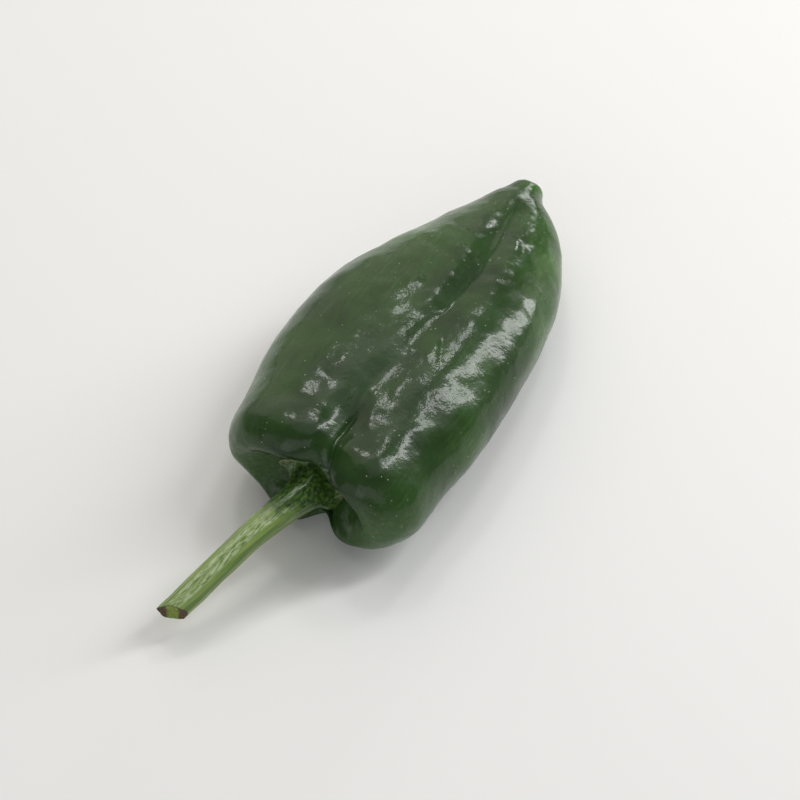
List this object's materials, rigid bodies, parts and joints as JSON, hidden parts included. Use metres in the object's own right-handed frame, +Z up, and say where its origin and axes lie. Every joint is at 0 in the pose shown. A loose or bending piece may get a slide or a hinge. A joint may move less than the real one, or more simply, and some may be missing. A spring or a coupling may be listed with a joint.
{
  "type": "pasilla pepper",
  "caption": "Fresh dark green poblano pepper with lobed pod, basin, calyx and cut stem, lying on its side, as food or kitchen decoration.",
  "frame": {"origin": "on the surface the pepper lies on, under the middle of its bounding box", "axes": "+Z up; +Y along the pepper from the cut stem to the tip; +X across the pod, to the right seen from the stem end"},
  "size_m": [0.067, 0.1766, 0.0363],
  "materials": {
    "pod_skin": "waxy glossy dark green skin",
    "stem_skin": "ribbed light green stem, satin"
  },
  "bodies": {
    "root": {"pod": "pod_skin", "stem": "stem_skin"}
  },
  "joints": []
}
